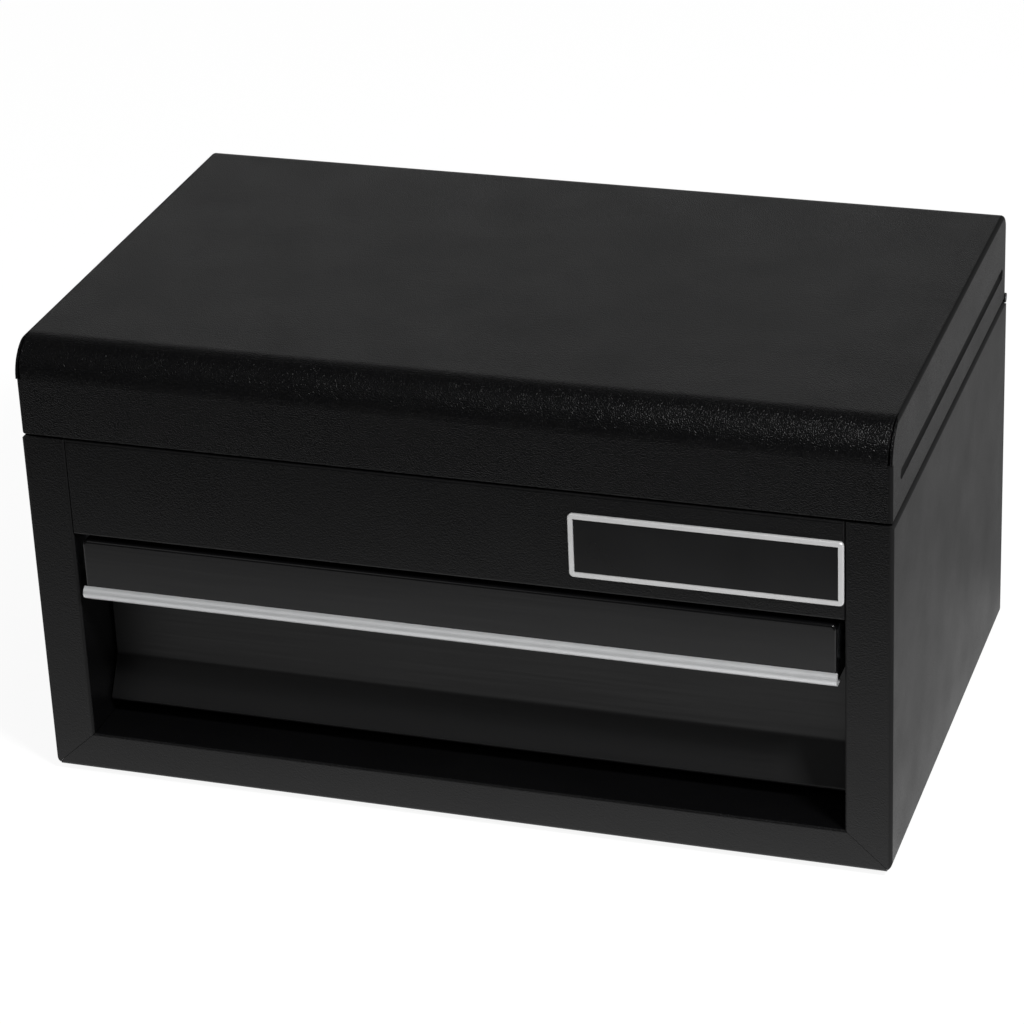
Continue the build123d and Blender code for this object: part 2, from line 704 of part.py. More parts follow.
def upper_side_edge(edge):
    """Whether an edge of the lid's side runs along its top or down its back."""
    middle = edge.center()
    return middle.Z > roll_z and middle.Y > roll_y


def lid_block(inset, bottom, back_face):
    """Rounded block of the lid's outer form, drawn in by an inset and ending at a back face."""
    with BuildPart() as block:
        # Below the roll the front corners are rounded
        with BuildSketch(Plane.XY.offset(bottom)):
            outline = add(span((inset - lid_x, front + inset), (lid_x - inset, back_face)))
            fillet(outline.vertices().group_by(Axis.Y)[0], LID_CORNER_BEND - inset)
        extrude(amount=roll_z - bottom)
        with BuildSketch(Plane.XY.offset(roll_z)):
            add(span((inset - lid_x, front + inset), (lid_x - inset, back_face)))
        extrude(amount=LID_ROLL - inset)
        back_edges = block.edges().filter_by(Axis.X).group_by(Axis.Y)[-1]
        fillet(back_edges.sort_by(Axis.Z)[-1], LID_BACK_BEND - inset)
        side_edges = block.faces().filter_by(Axis.X).edges()
        fillet(side_edges.filter_by(upper_side_edge), LID_TOP_BEND - inset)
        # The roll takes the front top corner off along the whole width
        with BuildSketch(Plane.YZ):
            add(span((front - LID_ROLL, roll_z), (roll_y, top + LID_ROLL)))
            with Locations((roll_y, roll_z)):
                Circle(LID_ROLL - inset, mode=Mode.SUBTRACT)
        extrude(amount=WIDTH, both=True, mode=Mode.SUBTRACT)
    return block.part


groove_radius = (GROOVE_WIDTH**2 / 4 + GROOVE_DEPTH**2) / (2 * GROOVE_DEPTH)
groove_x = lid_x + groove_radius - GROOVE_DEPTH
groove_z = seam + GROOVE_HEIGHT
groove_start = front + GROOVE_FRONT + GROOVE_WIDTH / 2
groove_end = back - GROOVE_BACK - GROOVE_WIDTH / 2


def groove_bar(radius):
    """Round-ended bars whose edges press the grooves into both sides of the lid."""
    with BuildPart() as bars:
        with BuildSketch(across(groove_start)):
            with Locations((-groove_x, groove_z), (groove_x, groove_z)):
                Circle(radius)
        extrude(amount=groove_start - groove_end)
        ends = [(x, y, groove_z) for x in (-groove_x, groove_x) for y in (groove_start, groove_end)]
        with Locations(*ends):
            Sphere(radius)
    return bars.part


with BuildPart() as groove_backs:
    add(groove_bar(groove_radius + LID_SHEET))
    with BuildSketch(Plane.XY.offset(hem_top)):
        Rectangle(2 * lid_inner + 2 * FIT_GAP, DEPTH)
    extrude(amount=LID_HEIGHT, mode=Mode.INTERSECT)

with BuildPart() as lid_shell:
    add(lid_block(0, seam, back))
    add(lid_block(LID_SHEET, hem_top, back - LID_SHEET), mode=Mode.SUBTRACT)
    with BuildSketch(Plane.XY.offset(seam)):
        hem_inner = lid_inner - LID_SHEET
        mouth = add(span((-hem_inner, front + 2 * LID_SHEET), (hem_inner, back - LID_SHEET)))
        fillet(mouth.vertices().group_by(Axis.Y)[0], LID_CORNER_BEND - LID_SHEET)
    extrude(amount=LID_HEM, mode=Mode.SUBTRACT)
    # The hem is folded round at the lower edge
    fillet(lid_shell.faces().sort_by(Axis.Z)[0].outer_wire().edges(), LID_HEM_ROUND)
    # Grooves pressed into both sides stand in on the inside
    add(groove_backs.part)
    add(groove_bar(groove_radius), mode=Mode.SUBTRACT)
    # Relief slots between the ends of the roll and the sides, wider towards the front
    with BuildSketch(across(front)):
        for side in (-1, 1):
            with BuildLine():
                Polyline(
                    (side * lid_inner, roll_z),
                    (side * lid_inner, top),
                    (side * (lid_inner - RELIEF_HEAD), top),
                    (side * (lid_inner - RELIEF_FOOT), roll_z),
                    close=True,
                )
            make_face()
    extrude(amount=-LID_ROLL, mode=Mode.SUBTRACT)
    # The back is cut away over the hinge and drilled for its rivets
    with BuildSketch(across(back)):
        add(span((-half_width, rim), (half_width, hinge_high)))
        with Locations((0, hinge_rivet_high)):
            with GridLocations(HINGE_RIVET_PITCH, 0, HINGE_RIVETS, 1):
                Circle(RIVET_HOLE)
    extrude(amount=pocket_depth, mode=Mode.SUBTRACT)

# Piano hinge: its knuckles alternate along one pin as wide as the box, and its leaves fit inside
knuckle_pitch = WIDTH / (2 * KNUCKLE_PAIRS)
leaf_end = lid_inner - LID_SHEET - JOINT_GAP
pin_bore = PIN_RADIUS + PIN_CLEARANCE


def hinge_leaf(direction, first, sheet):
    """Hinge leaf on one side of the pin (+1 up, -1 down), with every second knuckle."""
    edge_z = hinge_high if direction > 0 else hinge_low
    end_z = hinge_z + direction * LEAF_HEIGHT
    leaf_z = sorted((edge_z, end_z))
    web_z = sorted((hinge_z, edge_z))
    starts = [
        (2 * pair + first) * knuckle_pitch + KNUCKLE_GAP / 2 - half_width
        for pair in range(KNUCKLE_PAIRS)
    ]
    with BuildPart() as leaf:
        with BuildSketch(across(leaf_inner)):
            add(span((-leaf_end, leaf_z[0]), (leaf_end, leaf_z[1])))
            with Locations((0, hinge_z + direction * HINGE_RIVET_DISTANCE)):
                with GridLocations(HINGE_RIVET_PITCH, 0, HINGE_RIVETS, 1):
                    Circle(RIVET_HOLE, mode=Mode.SUBTRACT)
        extrude(amount=-sheet)
        with BuildSketch(*[Plane.YZ.offset(start) for start in starts]):
            with Locations((hinge_y, hinge_z)):
                Circle(KNUCKLE_RADIUS)
            add(span((leaf_inner, web_z[0]), (leaf_inner + sheet, web_z[1])))
            with Locations((hinge_y, hinge_z)):
                Circle(pin_bore, mode=Mode.SUBTRACT)
        extrude(amount=knuckle_pitch - KNUCKLE_GAP)
    return leaf.part


hinge_body_leaf = hinge_leaf(-1, 0, back_inner - leaf_inner)
hinge_lid_leaf = hinge_leaf(1, 1, back - LID_SHEET - leaf_inner)

with BuildPart() as hinge_pin:
    with BuildSketch(Plane.YZ):
        with Locations((hinge_y, hinge_z)):
            Circle(PIN_RADIUS)
    extrude(amount=half_width, both=True)

with BuildPart() as hinge_body_rivets:
    with Locations(Plane(origin=(0, back, hinge_rivet_low), x_dir=(1, 0, 0), z_dir=(0, 1, 0))):
        with GridLocations(HINGE_RIVET_PITCH, 0, HINGE_RIVETS, 1):
            add(rivet(back - leaf_inner))

with BuildPart() as hinge_lid_rivets:
    with Locations(Plane(origin=(0, back, hinge_rivet_high), x_dir=(1, 0, 0), z_dir=(0, 1, 0))):
        with GridLocations(HINGE_RIVET_PITCH, 0, HINGE_RIVETS, 1):
            add(rivet(back - leaf_inner))

# Lid stays: slotted arms that turn on the lid and slide on studs of the side panels.
# Pivot and stud lie equally far from the hinge, so an arm turns half as far as the lid.
stay_x = side_inner - STAY_INSET
stud_angle = STAY_PIVOT_ANGLE - STAY_SPREAD


def around_hinge(angle):
    """Point on the stay circle about the hinge pin, at an angle above the forward direction."""
    reach_y = STAY_RADIUS * cos(radians(angle))
    return (hinge_y - reach_y, hinge_z + STAY_RADIUS * sin(radians(angle)))


def stay_reach(opening):
    """Distance from the lid pivot to the body stud at a lid opening."""
    return 2 * STAY_RADIUS * sin(radians((STAY_SPREAD + opening) / 2))


pivot = around_hinge(STAY_PIVOT_ANGLE)
stud = around_hinge(stud_angle)
closed_reach = stay_reach(0)
open_reach = stay_reach(LID_OPENING)
slot_width = 2 * (STUD_RADIUS + STUD_CLEARANCE)
arm_direction = (0, stud[0] - pivot[0], stud[1] - pivot[1])

with BuildPart() as right_lid_stay:
    with BuildSketch(Plane(origin=(stay_x, *pivot), x_dir=arm_direction, z_dir=(1, 0, 0))):
        with Locations((open_reach / 2, 0)):
            SlotCenterToCenter(open_reach, STAY_WIDTH)
        with Locations(((closed_reach + open_reach) / 2, 0)):
            SlotCenterToCenter(open_reach - closed_reach, slot_width, mode=Mode.SUBTRACT)
        Circle(STUD_RADIUS + PIN_CLEARANCE, mode=Mode.SUBTRACT)
    extrude(amount=STAY_SHEET)


def stay_stud(wall):
    """Headed stud along +Z from a wall: collar, waist through the arm, and head."""
    arm_start = wall - stay_x - STAY_SHEET - JOINT_GAP
    arm_end = wall - stay_x + JOINT_GAP
    with BuildPart() as piece:
        with BuildSketch(Plane.XZ):
            with BuildLine():
                Polyline(
                    (0, 0),
                    (STUD_COLLAR, 0),
                    (STUD_COLLAR, arm_start),
                    (STUD_RADIUS, arm_start),
                    (STUD_RADIUS, arm_end),
                    (STUD_COLLAR, arm_end),
                    (STUD_COLLAR, arm_end + STUD_HEAD),
                    (0, arm_end + STUD_HEAD),
                    close=True,
                )
            make_face()
        revolve(axis=Axis.Z)
    return piece.part


def stud_pair(wall, place):
    """Studs on both sides of the box, standing in from a wall at a point beside the hinge."""
    with BuildPart() as pair:
        for side in (-1, 1):
            with Locations(Plane(origin=(side * wall, *place), z_dir=(-side, 0, 0))):
                add(stay_stud(wall))
    return pair.part


body_stay_studs = stud_pair(side_inner, stud)
lid_stay_pivots = stud_pair(lid_inner, pivot)

# Every piece is labelled and written under its own name
PIECES = {
    "left_side_panel": mirrored(right_side_panel.part),
    "right_side_panel": right_side_panel.part,
    "bottom_panel": bottom_panel.part,
    "back_panel": back_panel.part,
    "upper_front_panel": upper_front_panel.part,
    "compartment_floor": compartment_floor.part,
    "badge_plate": badge_plate.part,
    "badge_rim": badge_rim.part,
    "rubber_feet": rubber_feet.part,
    "left_slide_rail": mirrored(right_slide_rail.part),
    "right_slide_rail": right_slide_rail.part,
    "left_rear_bracket": mirrored(right_rear_bracket.part),
    "right_rear_bracket": right_rear_bracket.part,
    "slide_rail_rivets": slide_rail_rivets.part,
    "left_ball_cage": mirrored(right_ball_cage.part),
    "right_ball_cage": right_ball_cage.part,
    "left_slide_balls": mirrored(right_slide_balls.part),
    "right_slide_balls": right_slide_balls.part,
    "drawer_tray": drawer_tray.part,
    "drawer_front": drawer_front.part,
    "drawer_trim": drawer_trim.part,
    "left_drawer_runner": mirrored(right_drawer_runner.part),
    "right_drawer_runner": right_drawer_runner.part,
    "drawer_runner_rivets": drawer_runner_rivets.part,
    "lid_shell": lid_shell.part,
    "hinge_body_leaf": hinge_body_leaf,
    "hinge_lid_leaf": hinge_lid_leaf,
    "hinge_pin": hinge_pin.part,
    "hinge_body_rivets": hinge_body_rivets.part,
    "hinge_lid_rivets": hinge_lid_rivets.part,
    "left_lid_stay": mirrored(right_lid_stay.part),
    "right_lid_stay": right_lid_stay.part,
    "body_stay_studs": body_stay_studs,
    "lid_stay_pivots": lid_stay_pivots,
}

os.makedirs("parts", exist_ok=True)
for name, piece in PIECES.items():
    piece.label = name
    export_step(piece, f"parts/{name}.step")
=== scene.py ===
"""Mini tool box: finishes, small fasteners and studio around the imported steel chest.

The frame gives every steel piece at its real size, in metres. This script coats and plates
those pieces, turns the rivets, studs and feet that stand for plainer ones, and sets up the
floor, the lamps and the camera.
"""

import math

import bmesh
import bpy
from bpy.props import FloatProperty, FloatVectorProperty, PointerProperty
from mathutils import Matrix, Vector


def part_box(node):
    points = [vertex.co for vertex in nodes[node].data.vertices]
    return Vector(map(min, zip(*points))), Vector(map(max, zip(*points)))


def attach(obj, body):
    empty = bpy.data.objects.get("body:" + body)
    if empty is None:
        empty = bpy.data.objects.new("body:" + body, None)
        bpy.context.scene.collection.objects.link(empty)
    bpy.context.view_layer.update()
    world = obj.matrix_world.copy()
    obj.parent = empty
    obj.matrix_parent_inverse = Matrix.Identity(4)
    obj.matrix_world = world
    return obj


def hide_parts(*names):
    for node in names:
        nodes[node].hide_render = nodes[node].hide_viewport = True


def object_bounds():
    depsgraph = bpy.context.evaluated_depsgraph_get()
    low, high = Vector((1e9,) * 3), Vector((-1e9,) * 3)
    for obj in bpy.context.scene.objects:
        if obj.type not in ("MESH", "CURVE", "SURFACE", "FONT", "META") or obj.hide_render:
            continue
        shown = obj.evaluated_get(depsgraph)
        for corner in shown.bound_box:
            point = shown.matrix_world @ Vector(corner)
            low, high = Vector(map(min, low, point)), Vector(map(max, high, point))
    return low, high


bl_info = {
    "name": "Mini Tool Box Finishes",
    "version": (1, 0, 0),
    "blender": (4, 5, 0),
    "location": "View3D > Sidebar > Tool Box",
    "description": "Coats, plates and lights a small steel tool box with one drawer",
    "category": "Object",
}

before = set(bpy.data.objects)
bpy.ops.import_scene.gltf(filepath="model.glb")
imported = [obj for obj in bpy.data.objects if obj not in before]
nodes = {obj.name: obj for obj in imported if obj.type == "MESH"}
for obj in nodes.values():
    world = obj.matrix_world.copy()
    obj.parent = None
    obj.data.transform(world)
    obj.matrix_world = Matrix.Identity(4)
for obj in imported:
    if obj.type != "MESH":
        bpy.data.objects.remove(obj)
cad_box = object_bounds()

MM = 0.001
PANEL_NAME = "Tool Box"
SIDES = (-1, 1)
WHITE = (1.0, 1.0, 1.0, 1.0)

# Blind rivets: radii and heights of head, dimple of the broken mandrel, shank and formed tail
RIVET_HEAD = 2.4 * MM
RIVET_CROWN = 0.9 * MM
RIVET_CROWN_STEPS = 6
RIVET_DIMPLE = 0.75 * MM
RIVET_DIMPLE_DEPTH = 0.4 * MM
RIVET_SHANK = 1.45 * MM
RIVET_TAIL = 2.0 * MM
RIVET_TAIL_HEIGHT = 0.7 * MM
RIVET_TAIL_TAPER = 0.35 * MM
RIVET_FACETS = 28

# Rivets of the rails: the web under their heads, their places along it, the sheets they hold
RAIL_WEB = 137.7 * MM
RAIL_TAB = -76.5 * MM
RAIL_BRACKET = 68.5 * MM
TAB_GRIP = 1.8 * MM
BRACKET_GRIP = 2.2 * MM

# Rivets of the runners, inside the tray, and rivets of the hinge leaves
TRAY_INNER = 127.9 * MM
TRAY_MIDDLE = 4.9 * MM
RUNNER_PITCH = 45.0 * MM
HINGE_RIVET_PLACES = (-120.0 * MM, -40.0 * MM, 40.0 * MM, 120.0 * MM)
HINGE_GRIP = 1.6 * MM

# Headed studs of the lid stays: radius of collar and head, radius of the waist, room for the
# stay, and heights of the head and of its straight rim
STUD_COLLAR = 3.0 * MM
STUD_WAIST = 2.0 * MM
STUD_SLOT = 1.6 * MM
STUD_HEAD = 1.0 * MM
STUD_RIM = 0.3 * MM
STUD_CROWN_STEPS = 5
STUD_FACETS = 32

# Rubber feet: radii at top and bottom, edges, and the recess underneath
FOOT_TOP = 7.0 * MM
FOOT_BOTTOM = 6.2 * MM
FOOT_SHOULDER = 0.5 * MM
FOOT_CHAMFER = 0.4 * MM
FOOT_RECESS = 3.4 * MM
FOOT_RECESS_TOP = 3.0 * MM
FOOT_RECESS_DEPTH = 0.5 * MM
FOOT_FACETS = 40

# Edges of turned pieces: how much they are rounded, and the turn that makes one crisp
EDGE_ROUND = 0.12 * MM
EDGE_STEPS = 2
CREASE = math.radians(35)
MERGE_REACH = 0.001 * MM

# Limits between which nearly all of a noise lies. Each DETAIL below is how many finer layers a
# noise has.
NOISE_LOW = 0.3
NOISE_HIGH = 0.7

# Textured coats: pebbles of one size, and width and strength of their slow change in gloss
PEBBLE_DETAIL = 0.0
COAT_DRIFT = 25 * MM
COAT_DETAIL = 2.0
COAT_SPREAD = 0.03

# Tight bends, where the pebbles crowd and the coat is dull. A bend faces partly sideways and
# partly up or forward. The product of both parts is 0 on flat sheet, and between these two
# values the coat changes from open to dull.
BEND_START = 0.05
BEND_END = 0.3
BEND_ROUGHNESS = 0.65

# Satin coat: the sheet's rolling lines. Real ones are about 0.2 mm apart, too fine to show, so
# they are drawn 1.2 mm apart. The pull recess is coated drier between these depths.
LINE_LENGTH = 60 * MM
LINE_PITCH = 1.2 * MM
LINE_DETAIL = 3.0
LINE_RELIEF = 0.01 * MM
LINE_SPREAD = 0.04
RECESS_START = 4 * MM
RECESS_END = 20 * MM

# Bare metal: width of the cloudy patches left by the plating bath and by hands, and their
# strength. Narrower patches break up on the thin edges of the slides.
CLOUD_WIDTH = 8 * MM
CLOUD_DETAIL = 1.0
CLOUD_SPREAD = 0.05

# Camera and lamps: sensor width in millimetres, places and widths of the lamps
SENSOR_WIDTH = 36.0
KEY_PLACE = Vector((0.75, -0.6, 1.1))
KEY_SIZE = 0.2
FILL_PLACE = Vector((-0.65, -1.0, 1.1))
FILL_SIZE = 0.7

# White sheet as the camera sees it: its glow, and the share of plain shading for the shadow
SHEET_GLOW = 1.12
SHADOW_SHARE = 0.2

# White sheet as a gloss sees it, in front of the box, where its light is a painted glow: where
# the sheet ends and how softly, and the painted gain in brightness towards the foot of the box
SHEET_FRONT = 0.17
SHEET_BLUR = 0.015
FOOT_REACH = 0.05
FOOT_GAIN = 1.45

# Beside and behind the box, in the same painted glow: share of the front's brightness, the lengths
# over which it takes hold and falls off, what is left far out, and the shares at the left and
# right sides
SIDE_SHARE = 0.82
SIDE_START = 0.03
SIDE_FALL = 0.05
FAR_LEVEL = 0.3
LEFT_SHARE = 0.84
RIGHT_SHARE = 1.18

# Backdrop as a gloss sees it: how far a ray leans back before the backdrop shows, and how far
# it rises before the backdrop darkens
BACKDROP_START = 0.1
BACKDROP_FULL = 0.6
BACKDROP_LOW = 0.10
BACKDROP_HIGH = 0.60


def linear(code):
    """Linear colour of an sRGB hex code such as "#1a1b1c", for a shader's socket."""
    channels = [int(code[i : i + 2], 16) / 255 for i in (1, 3, 5)]
    return [c / 12.92 if c <= 0.04045 else ((c + 0.055) / 1.055) ** 2.4 for c in channels]


# Settings that a user would change

class ToolBoxCoatSettings(bpy.types.PropertyGroup):
    """Colours and grain of the powder coats"""

    body_colour: FloatVectorProperty(
        name="Body coat",
        description="Colour of the fine textured coat on the body",
        subtype="COLOR",
        size=3,
        min=0.0,
        max=1.0,
        default=linear("#080809"),
    )
    lid_colour: FloatVectorProperty(
        name="Lid coat",
        description="Colour of the coarse textured coat on the lid",
        subtype="COLOR",
        size=3,
        min=0.0,
        max=1.0,
        default=linear("#060607"),
    )
    drawer_colour: FloatVectorProperty(
        name="Drawer coat",
        description="Colour of the smooth coat on the drawer",
        subtype="COLOR",
        size=3,
        min=0.0,
        max=1.0,
        default=linear("#0b0b0c"),
    )
    lid_grain: FloatProperty(
        name="Lid grain",
        description="Width of one pebble of the coarse coat",
        subtype="DISTANCE",
        unit="LENGTH",
        default=0.42 * MM,
    )
    lid_relief: FloatProperty(
        name="Lid relief",
        description="Height of the pebbles of the coarse coat",
        subtype="DISTANCE",
        unit="LENGTH",
        default=0.28 * MM,
    )
    body_grain: FloatProperty(
        name="Body grain",
        description="Width of one pebble of the fine coat",
        subtype="DISTANCE",
        unit="LENGTH",
        default=0.4 * MM,
    )
    body_relief: FloatProperty(
        name="Body relief",
        description="Height of the pebbles of the fine coat",
        subtype="DISTANCE",
        unit="LENGTH",
        default=0.1 * MM,
    )


class ToolBoxCameraSettings(bpy.types.PropertyGroup):
    """Where the picture is taken from"""

    aim: FloatVectorProperty(
        name="Aim",
        description="Point of the box on the middle of the picture",
        subtype="XYZ",
        unit="LENGTH",
        size=3,
        default=(-0.0173, 0.0270, 0.0604),
    )
    distance: FloatProperty(
        name="Distance",
        description="From the lens to the aim",
        subtype="DISTANCE",
        unit="LENGTH",
        default=1.400,
    )
    azimuth: FloatProperty(
        name="Azimuth",
        description="Turn of the view to the right of the front",
        subtype="ANGLE",
        unit="ROTATION",
        default=math.radians(18.91),
    )
    elevation: FloatProperty(
        name="Elevation",
        description="Height of the view above the horizon",
        subtype="ANGLE",
        unit="ROTATION",
        default=math.radians(26.62),
    )
    roll: FloatProperty(
        name="Roll",
        description="Tilt of the camera about its own axis",
        subtype="ANGLE",
        unit="ROTATION",
        default=math.radians(-2.63),
    )
    lens: FloatProperty(
        name="Lens",
        description="Focal length on a 36 mm wide sensor, in millimetres",
        unit="CAMERA",
        default=131.5,
    )


class ToolBoxStudioSettings(bpy.types.PropertyGroup):
    """Floor and light"""

    floor_reach: FloatProperty(
        name="Floor reach",
        description="From the box to the edges of the floor",
        subtype="DISTANCE",
        unit="LENGTH",
        default=3.0,
    )
    room_level: FloatProperty(
        name="Room light",
        description="Brightness of the room around the box",
        default=0.4,
    )
    # Level of the painted glow that a gloss sees on the floor in front of the box
    floor_level: FloatProperty(
        name="Painted floor glow",
        description="How bright a gloss shows the floor in front of the box",
        default=0.69,
    )
    front_level: FloatProperty(
        name="Dark front",
        description="How bright a gloss shows the room in front of the box and above it",
        default=0.03,
    )
    back_level: FloatProperty(
        name="Pale backdrop",
        description="How bright a gloss shows the foot of the backdrop behind the box",
        default=0.49,
    )
    key_power: FloatProperty(
        name="Key lamp",
        description="Power of the small lamp at the front right that makes the pebbles sparkle",
        unit="POWER",
        default=11.5,
    )
    fill_power: FloatProperty(
        name="Fill lamp",
        description="Power of the large soft lamp at the front left",
        unit="POWER",
        default=0.8,
    )


# Helpers for nodes and materials

def add_node(tree, kind, sockets=None, **settings):
    """Add a node with its settings, and give its sockets a value or another node's output."""
    node = tree.nodes.new(kind)
    for name, value in settings.items():
        setattr(node, name, value)
    for name, source in (sockets or {}).items():
        if isinstance(source, bpy.types.NodeSocket):
            tree.links.new(source, node.inputs[name])
        else:
            node.inputs[name].default_value = source
    return node


def new_material(name):
    """Empty node material, and the tree to fill."""
    material = bpy.data.materials.new(name)
    material.use_nodes = True
    tree = material.node_tree
    tree.nodes.clear()
    return material, tree


def rgba(colour):
    """Colour with full alpha."""
    return (*colour, 1.0)


def dress(material, names):
    """Give CAD nodes a material in their own slots."""
    for name in names:
        node = nodes[name]
        node.data.materials.clear()
        node.data.materials.append(material)


# Round pieces, turned from a profile

def middle_of(name):
    """Middle of a CAD node's box."""
    low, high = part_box(name)
    return (Vector(low) + Vector(high)) / 2


def turned(profile, facets):
    """Solid turned about Z from a profile of (radius, height) that starts and ends on the axis."""
    shape = bmesh.new()
    line = [shape.verts.new((radius, 0.0, height)) for radius, height in profile]
    for ends in zip(line, line[1:]):
        shape.edges.new(ends)
    bmesh.ops.spin(
        shape,
        geom=shape.verts[:] + shape.edges[:],
        cent=(0.0, 0.0, 0.0),
        axis=(0.0, 0.0, 1.0),
        angle=math.tau,
        steps=facets,
        use_merge=True,
    )
    bmesh.ops.remove_doubles(shape, verts=shape.verts, dist=MERGE_REACH)
    bmesh.ops.recalc_face_normals(shape, faces=shape.faces)
    crisp = [edge for edge in shape.edges if edge.calc_face_angle(0.0) > CREASE]
    bmesh.ops.bevel(
        shape,
        geom=crisp,
        offset=EDGE_ROUND,
        segments=EDGE_STEPS,
        profile=0.5,
        affect="EDGES",
        material=-1,
        clamp_overlap=True,
    )
    return shape


def dome(radius, height, inner, base, steps):
    """Points of a domed head, from an inner radius out to its rim at a base height."""
    sphere = (radius**2 + height**2) / (2 * height)
    first, last = math.asin(inner / sphere), math.asin(radius / sphere)
    angles = [first + (last - first) * i / steps for i in range(steps + 1)]
    return [(sphere * math.sin(a), base + height - sphere + sphere * math.cos(a)) for a in angles]


def copies(one, places):
    """The same turned piece at each place: a point, and the way that its top faces."""
    pattern = bpy.data.meshes.new("pattern")
    one.to_mesh(pattern)
    one.free()
    shape = bmesh.new()
    for point, facing in places:
        known = len(shape.verts)
        shape.from_mesh(pattern)
        shape.verts.ensure_lookup_table()
        turn = Vector(facing).to_track_quat("Z", "Y").to_matrix().to_4x4()
        place = Matrix.Translation(point) @ turn
        bmesh.ops.transform(shape, matrix=place, verts=shape.verts[known:])
    bpy.data.meshes.remove(pattern)
    return shape


def add_piece(context, name, shapes, material, body):
    """One object from turned shapes, which rides on a body and stands for its CAD node."""
    mesh = bpy.data.meshes.new(name)
    whole = bmesh.new()
    for shape in shapes:
        part = bpy.data.meshes.new("part")
        shape.to_mesh(part)
        shape.free()
        whole.from_mesh(part)
        bpy.data.meshes.remove(part)
    whole.to_mesh(mesh)
    whole.free()
    mesh.shade_smooth()
    mesh.set_sharp_from_angle(angle=CREASE)
    mesh.materials.append(material)
    piece = bpy.data.objects.new("turned_" + name, mesh)
    context.scene.collection.objects.link(piece)
    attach(piece, body)
    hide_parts(name)


def rivets(grip, places):
    """Blind rivets through sheets of a grip, heads up."""
    head = dome(RIVET_HEAD, RIVET_CROWN, RIVET_DIMPLE, 0.0, RIVET_CROWN_STEPS)
    floor = head[0][1] - RIVET_DIMPLE_DEPTH
    tail = -grip - RIVET_TAIL_HEIGHT
    profile = [
        (0.0, floor),
        (RIVET_DIMPLE, floor),
        *head,
        (RIVET_SHANK, 0.0),
        (RIVET_SHANK, -grip),
        (RIVET_TAIL, -grip),
        (RIVET_TAIL, tail + RIVET_TAIL_TAPER),
        (RIVET_DIMPLE, tail),
        (0.0, tail),
    ]
    return copies(turned(profile, RIVET_FACETS), places)


def studs(collar, places):
    """Headed studs: a collar of a height on the wall, a waist for the stay and a domed head."""
    waist_end = collar + STUD_SLOT
    rim = waist_end + STUD_RIM
    head = dome(STUD_COLLAR, STUD_HEAD - STUD_RIM, 0.0, rim, STUD_CROWN_STEPS)
    profile = [
        (0.0, 0.0),
        (STUD_COLLAR, 0.0),
        (STUD_COLLAR, collar),
        (STUD_WAIST, collar),
        (STUD_WAIST, waist_end),
        (STUD_COLLAR, waist_end),
        (STUD_COLLAR, rim),
        *reversed(head[:-1]),
    ]
    return copies(turned(profile, STUD_FACETS), places)


def feet(height, places):
    """Rubber feet of a height: tapered discs with a soft lower edge and a recess underneath."""
    profile = [
        (0.0, height),
        (FOOT_TOP, height),
        (FOOT_TOP, height - FOOT_SHOULDER),
        (FOOT_BOTTOM, FOOT_CHAMFER),
        (FOOT_BOTTOM - FOOT_CHAMFER, 0.0),
        (FOOT_RECESS, 0.0),
        (FOOT_RECESS_TOP, FOOT_RECESS_DEPTH),
        (0.0, FOOT_RECESS_DEPTH),
    ]
    return copies(turned(profile, FOOT_FACETS), places)


# Finishes

def wandering(tree, place, width, detail, middle, spread):
    """Value that strays from its middle by up to a spread, in patches of a width, as a socket."""
    patches = add_node(
        tree,
        "ShaderNodeTexNoise",
        {"Vector": place, "Scale": 1 / width, "Detail": detail},
    )
    value = add_node(
        tree,
        "ShaderNodeMapRange",
        {
            "Value": patches.outputs["Fac"],
            "From Min": NOISE_LOW,
            "From Max": NOISE_HIGH,
            "To Min": middle - spread,
            "To Max": middle + spread,
        },
    )
    return value.outputs["Result"]


def flat_share(tree):
    """1 on flat sheet and on the lid's roll, 0 on the tight bends of the sides, as a socket."""
    facing = add_node(tree, "ShaderNodeTexCoord").outputs["Normal"]
    spread = add_node(tree, "ShaderNodeVectorMath", {0: facing}, operation="ABSOLUTE")
    axes = add_node(tree, "ShaderNodeSeparateXYZ", {"Vector": spread.outputs["Vector"]})
    upright = add_node(
        tree,
        "ShaderNodeMath",
        {0: axes.outputs["Y"], 1: axes.outputs["Z"]},
        operation="MAXIMUM",
    )
    bend = add_node(
        tree,
        "ShaderNodeMath",
        {0: axes.outputs["X"], 1: upright.outputs["Value"]},
        operation="MULTIPLY",
    )
    flat = add_node(
        tree,
        "ShaderNodeMapRange",
        {
            "Value": bend.outputs["Value"],
            "From Min": BEND_START,
            "From Max": BEND_END,
            "To Min": 1.0,
            "To Max": 0.0,
        },
    )
    return flat.outputs["Result"]


